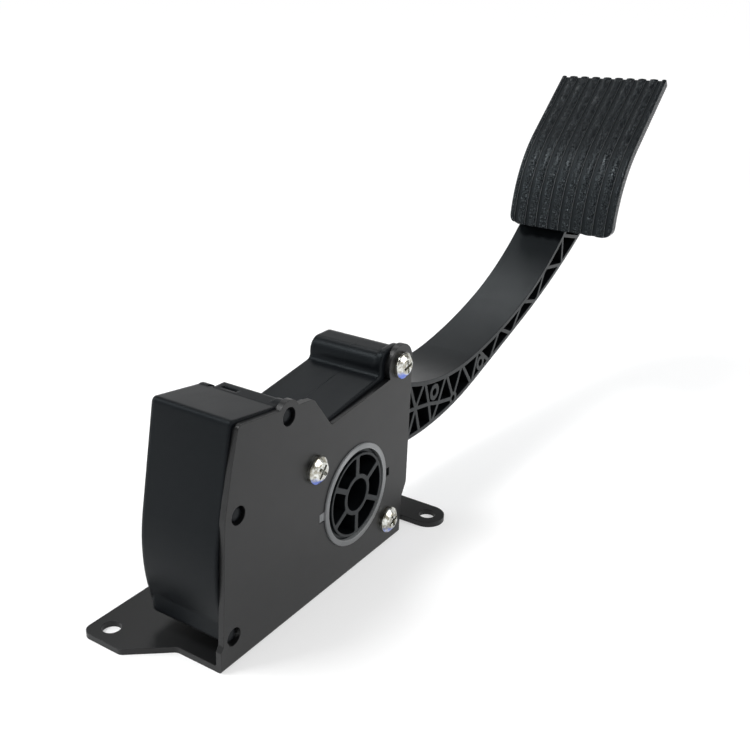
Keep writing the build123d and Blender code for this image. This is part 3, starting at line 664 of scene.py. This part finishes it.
@dataclass(frozen=True)
class BlueZinc(BareMetal):
    """Bright zinc plate with a faint bluish tint, and a painted reflection on its lower side.

    The blue lies in pools on the lower side of a head's dome: partly the zinc's own tint, partly a
    painted reflection. The underside and the dome are how the surface faces there, and the pools
    and the stains are bands of their noise.
    """

    film_and_reflection: Colour = (0.16, 0.24, 0.72)
    underside: Band = (-0.1, -0.5)
    dome: Band = (0.3, 0.5)
    pool: float = 3 * MM
    pools: Band = (0.25, 0.5)
    stain: float = 1.6 * MM
    stains: Band = (0.35, 0.65)

    def shade(self, tree: Tree) -> Signal:
        """Stained zinc, with blue pooled on the lower side as its own tint and a painted reflection.

        Args:
            tree: the material's nodes.

        Returns:
            The colour.
        """
        _, outwards, up = tree.normal_parts()
        # Partly the zinc's own blue tint, partly a painted reflection: blue laid on the dome's
        # downward-facing side.
        low = up.step(*self.underside) * abs(outwards).step(*self.dome)
        film_and_reflection_share = low * tree.noise(tree.place(), self.pool, detail=3.0).step(*self.pools)
        clean = tree.noise(tree.place(), self.stain, detail=3.0).step(*self.stains)
        return tree.blend(film_and_reflection_share, tree.blend(clean, self.colour, self.second), self.film_and_reflection)


@dataclass(frozen=True)
class Laminate(Finish):
    """A printed board: solder mask over a few copper tracks."""

    pitch: float = 1.9 * MM
    slant: float = 0.4
    track: Band = (0.62, 0.7)
    warp: Point = (1.0, 1.0, 0.3)
    weave: float = 0.5 * MM
    depth: float = 0.01 * MM

    def shade(self, tree: Tree) -> Signal:
        """Solder mask, lighter over the tracks.

        Args:
            tree: the material's nodes.

        Returns:
            The colour.
        """
        across, _, up = tree.parts(tree.place())
        lane = tree.math("PINGPONG", across + self.slant * up, self.pitch)
        first, last = (share * self.pitch for share in self.track)
        return tree.blend(lane.step(first, last), self.colour, self.second)

    def relief(self, tree: Tree) -> Signal:
        """The weave of the glass cloth."""
        cloth = tree.noise(tree.place(self.warp), self.weave, detail=1.0)
        return tree.bump(cloth, self.depth, tree.soft_edges(self.edge))


COOL_SHEEN: Colour = (0.84, 0.95, 1.0)
BRACKET_COAT = CoatedSheet(
    "bracket_coat",
    tone(14, 15, 16),
    tone(21, 22, 23),
    roughness=0.38, spread=0.08, specular=0.38,
)
HOUSING_PLASTIC = PartedPlastic(
    "housing_plastic",
    tone(8, 10, 13),
    tone(12, 14, 17),
    roughness=0.36, spread=0.1, edge=1.8 * MM, specular=0.13, sheen=COOL_SHEEN,
)
ARM_PLASTIC = MouldedPlastic(
    "arm_plastic",
    tone(10, 12, 14),
    tone(15, 17, 19),
    roughness=0.36, spread=0.12, edge=0.5 * MM, specular=0.26, sheen=COOL_SHEEN,
)
COVER_PLASTIC = MouldedPlastic(
    "cover_plastic",
    tone(11, 13, 16),
    tone(15, 17, 20),
    roughness=0.45, spread=0.1, specular=0.17,
)
TREAD_RUBBER = TreadRubber(
    "tread_rubber",
    tone(5, 7, 10),
    tone(34, 37, 41),
    roughness=0.22, spread=0.1, edge=0.12 * MM, specular=0.3, sheen=COOL_SHEEN,
)
STOP_RUBBER = GrainedRubber(
    "stop_rubber",
    tone(26, 26, 26),
    tone(32, 32, 32),
    roughness=0.62, grain=0.5 * MM, depth=0.02 * MM,
)
SEAL_RUBBER = GrainedRubber(
    "seal_rubber",
    tone(132, 62, 44),
    tone(142, 72, 52),
    roughness=0.55, grain=0.4 * MM, depth=0.01 * MM,
)
BUSH_POLYMER = CrownedRing(
    "bush_polymer",
    tone(132, 134, 136),
    tone(146, 148, 149),
    roughness=0.36, spread=0.1, edge=0.6 * MM,
)
SEAT_PLASTIC = MouldedPlastic(
    "seat_plastic",
    tone(62, 62, 62),
    tone(70, 70, 70),
    roughness=0.45, spread=0.08,
)
SHOE_PLASTIC = MouldedPlastic(
    "shoe_plastic",
    tone(150, 140, 118),
    tone(162, 152, 130),
    roughness=0.5, spread=0.08,
)
SPRING_WIRE = BareMetal(
    "spring_wire",
    tone(150, 150, 152),
    tone(172, 172, 174),
    roughness=0.32, spread=0.12, edge=0.5 * MM,
)
PIN_STEEL = BareMetal(
    "pin_steel",
    tone(176, 177, 179),
    tone(192, 193, 195),
    roughness=0.22, spread=0.06, stretch=(1.0, 0.05, 1.0),
)
BRIGHT_ZINC = BlueZinc(
    "bright_zinc",
    tone(150, 146, 132),
    tone(222, 224, 220),
    roughness=0.2, spread=0.16,
)
INSERT_BRASS = BareMetal(
    "insert_brass",
    tone(196, 160, 92),
    tone(212, 178, 110),
    roughness=0.3, spread=0.1,
)
SINTERED_MAGNET = BareMetal(
    "sintered_magnet",
    tone(84, 85, 88),
    tone(100, 101, 104),
    roughness=0.45, metallic=0.6, depth=0.02 * MM,
)
TINNED_PIN = BareMetal(
    "tinned_pin",
    tone(205, 204, 198),
    tone(222, 221, 216),
    roughness=0.25, spread=0.08,
)
BOARD_LAMINATE = Laminate(
    "board_laminate",
    tone(22, 88, 52),
    tone(40, 118, 66),
    roughness=0.28, spread=0.05,
)


@lru_cache(maxsize=None)
def material_of(finish: Finish) -> bpy.types.Material:
    """The one material of a finish, made the first time that it is wanted."""
    return finish.material()


@dataclass
class SubAssembly:
    """A group of the pedal's pieces that are dressed together."""

    finishes: dict[str, Finish]

    def dress(self) -> None:
        """Gives each piece of the group its finish."""
        for node, finish in self.finishes.items():
            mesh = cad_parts[node].data
            mesh.materials.clear()
            mesh.materials.append(material_of(finish))
            LOG.info("%s: %s", node, finish.name)


@dataclass
class Mounting(SubAssembly):
    """The folded bracket and the moulded housing that it carries."""

    finishes: dict[str, Finish] = field(
        default_factory=lambda: {"mounting_bracket": BRACKET_COAT, "housing": HOUSING_PLASTIC}
    )


@dataclass
class Pedal(SubAssembly):
    """The arm with its tread."""

    finishes: dict[str, Finish] = field(
        default_factory=lambda: {"pedal_arm": ARM_PLASTIC, "tread_pad": TREAD_RUBBER}
    )


@dataclass
class Bearings(SubAssembly):
    """The bushes, the stops and the friction shoe round the hub."""

    finishes: dict[str, Finish] = field(
        default_factory=lambda: {
            "near_hub_bush": BUSH_POLYMER,
            "far_hub_bush": BUSH_POLYMER,
            "idle_stop_bumper": STOP_RUBBER,
            "full_stop_bumper": STOP_RUBBER,
            "friction_shoe": SHOE_PLASTIC,
            "friction_leaf_spring": SPRING_WIRE,
        }
    )


@dataclass(frozen=True)
class Coil:
    """One round-wire return spring, closed at both ends.

    The radius is measured to the wire's middle, and wire is the wire's own radius. The dead pitch is
    the rise of a dead turn, in those wire radii. Keep is the share of its height that the spring
    would have at full travel; it is not used.
    """

    node: str
    radius: float
    wire: float
    live_turns: float
    low: float = 38.7 * MM
    high: float = 84.2 * MM
    axis: tuple[float, float] = (-58.5 * MM, 0.0)
    dead_turns: float = 0.75
    dead_pitch: float = 2.04
    keep: float = 0.592
    steps_per_turn: int = 32
    sides: int = 12

    def wind(self, work: bmesh.types.BMesh) -> None:
        """Winds the wire upwards from its lower end.

        Args:
            work: the empty mesh that the wire goes into.
        """
        foot = Matrix.Translation((self.radius, 0, self.low + self.wire))
        upright = Matrix.Rotation(math.radians(90), 4, "X")
        bmesh.ops.create_circle(
            work, segments=self.sides, radius=self.wire, matrix=foot @ upright
        )
        ring: list[Any] = [*work.verts, *work.edges]
        dead_rise = self.dead_pitch * self.wire * self.dead_turns
        live_rise = self.high - self.low - 2 * self.wire - 2 * dead_rise
        dead, live = (self.dead_turns, dead_rise), (self.live_turns, live_rise)
        for turns, rise in (dead, live, dead):
            steps = round(turns * self.steps_per_turn)
            ring = bmesh.ops.spin(
                work,
                geom=ring,
                cent=(0, 0, 0),
                axis=(0, 0, 1),
                dvec=(0, 0, rise / steps),
                angle=math.tau * turns,
                steps=steps,
            )["geom_last"]

    def build(self) -> bpy.types.Object:
        """Makes the spring and fixes it to the bracket.

        Returns:
            The spring, which stands for its CAD node.
        """
        work = bmesh.new()
        self.wind(work)
        bmesh.ops.holes_fill(work, edges=work.edges, sides=self.sides)
        bmesh.ops.translate(work, verts=work.verts, vec=(*self.axis, 0))
        bmesh.ops.recalc_face_normals(work, faces=work.faces)
        for face in work.faces:
            face.smooth = len(face.verts) == 4
        mesh = bpy.data.meshes.new(f"{self.node}_wire")
        work.to_mesh(mesh)
        work.free()
        mesh.materials.append(material_of(SPRING_WIRE))
        wire = bpy.data.objects.new(f"{self.node}_wire", mesh)
        bpy.context.scene.collection.objects.link(wire)
        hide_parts(self.node)
        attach(wire, "bracket")
        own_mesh(wire)
        LOG.info("%s: %s", wire.name, SPRING_WIRE.name)
        return wire


@dataclass
class Springs(SubAssembly):
    """The nested return springs between their seats."""

    finishes: dict[str, Finish] = field(
        default_factory=lambda: {
            "outer_return_spring": SPRING_WIRE,
            "inner_return_spring": SPRING_WIRE,
            "upper_spring_seat": SEAT_PLASTIC,
            "lower_spring_seat": SEAT_PLASTIC,
            "seat_pin": PIN_STEEL,
        }
    )
    coils: tuple[Coil, ...] = (
        Coil("outer_return_spring", 9.9 * MM, 1.25 * MM, 3.5),
        Coil("inner_return_spring", 6.6 * MM, 0.9 * MM, 4.5),
    )

    def dress(self) -> None:
        """Dresses the seats and winds the springs."""
        super().dress()
        for coil in self.coils:
            coil.build()


@dataclass
class Fasteners(SubAssembly):
    """The screws and the inserts that they go into."""

    finishes: dict[str, Finish] = field(
        default_factory=lambda: {
            "plate_screws": BRIGHT_ZINC,
            "cover_screws": BRIGHT_ZINC,
            "threaded_inserts": INSERT_BRASS,
        }
    )


@dataclass
class Sensor(SubAssembly):
    """The position sensor on the far wall."""

    finishes: dict[str, Finish] = field(
        default_factory=lambda: {
            "magnet_holder": SEAT_PLASTIC,
            "sensor_magnet": SINTERED_MAGNET,
            "sensor_board": BOARD_LAMINATE,
            "sensor_cover": COVER_PLASTIC,
            "cover_seal": SEAL_RUBBER,
            "connector_pins": TINNED_PIN,
        }
    )


class Cast(Enum):
    """The colour cast of a lamp."""

    PLAIN = WHITE
    COOL = (0.9, 0.96, 1.0)


@dataclass(frozen=True)
class SoftBox:
    """A rectangular lamp with soft light."""

    name: str
    place: Point
    target: Point
    size: tuple[float, float]
    power: float
    cast: Cast = Cast.PLAIN

    def build(self) -> bpy.types.Object:
        """Hangs the lamp and turns it to its target.

        Returns:
            The lamp.
        """
        data = bpy.data.lights.new(self.name, "AREA")
        data.shape = "RECTANGLE"
        data.size, data.size_y = self.size
        data.energy = self.power
        data.color = self.cast.value
        lamp = bpy.data.objects.new(self.name, data)
        bpy.context.scene.collection.objects.link(lamp)
        lamp.location = self.place
        aim = Vector(self.target) - Vector(self.place)
        lamp.rotation_euler = aim.to_track_quat("-Z", "Y").to_euler()
        return lamp


@dataclass
class Studio:
    """The floor, the lamps, the surroundings and the camera.

    The floor's fill is the distances over which it rises to white. The sweep fades to the ceiling
    between the heights of the fade. The lens and the sensor are in millimetres, and the clip is the
    nearest and the farthest that the camera sees, in metres.
    """

    floor_size: float = 40.0
    floor_fill: Band = (0.5, 2.0)
    floor_glow: float = 0.45
    floor_albedo: float = 0.6
    room: float = 0.4
    sweep: float = 1.0
    ceiling: float = 0.2
    fade: Band = (0.5, 0.1)
    lamps: tuple[SoftBox, ...] = (
        SoftBox("high_left", (-0.4, 0.42, 1.15), (0.1, 0.0, 0.1), (0.35, 0.35), 7.5),
        SoftBox("back_high", (0.68, 0.58, 1.1), (0.15, 0.0, 0.08), (0.45, 0.45), 2.0),
        SoftBox("near_side", (0.35, -1.1, 0.8), (0.0, 0.0, 0.06), (0.9, 0.7), 9.0),
        SoftBox("far_side", (-0.35, 1.1, 0.7), (0.1, 0.0, 0.08), (0.7, 0.7), 6.0, Cast.COOL),
        SoftBox("left", (-1.1, 0.15, 0.6), (0.0, 0.0, 0.06), (0.6, 0.6), 1.5),
    )
    azimuth: float = math.radians(-57.54)
    elevation: float = math.radians(22.39)
    roll: float = math.radians(1.77)
    station: Point = (-0.3008, -0.21855, 0.2370)
    sensor: float = 36.0
    lens: float = 48.07
    clip: tuple[float, float] = (0.01, 50.0)

    def build(self) -> None:
        """Sets up everything round the object."""
        self.build_floor()
        self.build_room()
        for lamp in self.lamps:
            lamp.build()
        self.build_camera()
        bpy.context.scene.view_settings.view_transform = "Standard"

    def build_floor(self) -> None:
        """A plain pale floor that keeps the object's shadow."""
        bpy.ops.mesh.primitive_plane_add(size=self.floor_size, location=(0, 0, 0))
        floor = bpy.context.active_object
        floor.name = "floor"
        tree = Tree.of_material("floor")
        albedo = (self.floor_albedo,) * 3 + (1.0,)
        paint = tree.signal("ShaderNodeBsdfDiffuse", {}, {"Color": albedo})
        reach = tree.vector_math("LENGTH", {0: tree.place()}, "Value")
        lack = 1 - self.floor_glow - self.floor_albedo * self.room
        fill = reach.step(*self.floor_fill) * lack
        strength = tree.shown() * (self.floor_glow + fill)
        glow = tree.signal("ShaderNodeEmission", {}, {"Strength": strength})
        total = tree.signal("ShaderNodeAddShader", {}, {0: paint, 1: glow})
        tree.node("ShaderNodeOutputMaterial", {}, {"Surface": total})
        floor.data.materials.append(tree.owner)

    def build_room(self) -> None:
        """Even light from all round, and a white sweep that darkens to the ceiling."""
        tree = Tree(bpy.data.worlds.new("room"))
        shown = tree.shown()
        _, _, up = tree.parts(tree.signal("ShaderNodeTexCoord", {}, {}, "Generated"))
        seen = self.ceiling + (self.sweep - self.ceiling) * up.step(*self.fade)
        sockets = {"Color": (*WHITE, 1.0), "Strength": shown * seen + (1 - shown) * self.room}
        light = tree.signal("ShaderNodeBackground", {}, sockets)
        tree.node("ShaderNodeOutputWorld", {}, {"Surface": light})
        bpy.context.scene.world = tree.owner

    def build_camera(self) -> None:
        """The camera where the photograph's stood."""
        data = bpy.data.cameras.new("camera")
        camera = bpy.data.objects.new("camera", data)
        bpy.context.scene.collection.objects.link(camera)
        turn, rise, lean = self.azimuth, self.elevation, self.roll
        level = Vector((math.cos(turn), math.sin(turn), 0))
        outward = Vector((math.sin(turn), -math.cos(turn), 0))
        back = math.cos(rise) * outward + Vector((0, 0, math.sin(rise)))
        upright = back.cross(level)
        right = math.cos(lean) * level + math.sin(lean) * upright
        top = math.cos(lean) * upright - math.sin(lean) * level
        matrix = Matrix((right, top, back)).transposed().to_4x4()
        matrix.translation = Vector(self.station)
        camera.matrix_world = matrix
        data.sensor_width = self.sensor
        data.lens = self.lens
        data.clip_start, data.clip_end = self.clip
        bpy.context.scene.camera = camera


def main() -> None:
    """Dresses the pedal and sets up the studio."""
    logging.basicConfig(level=logging.INFO, format="%(message)s")
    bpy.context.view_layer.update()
    groups = (Mounting(), Pedal(), Bearings(), Springs(), Fasteners(), Sensor())
    for group in groups:
        group.dress()
    Studio().build()


if __name__ == "__main__":
    main()
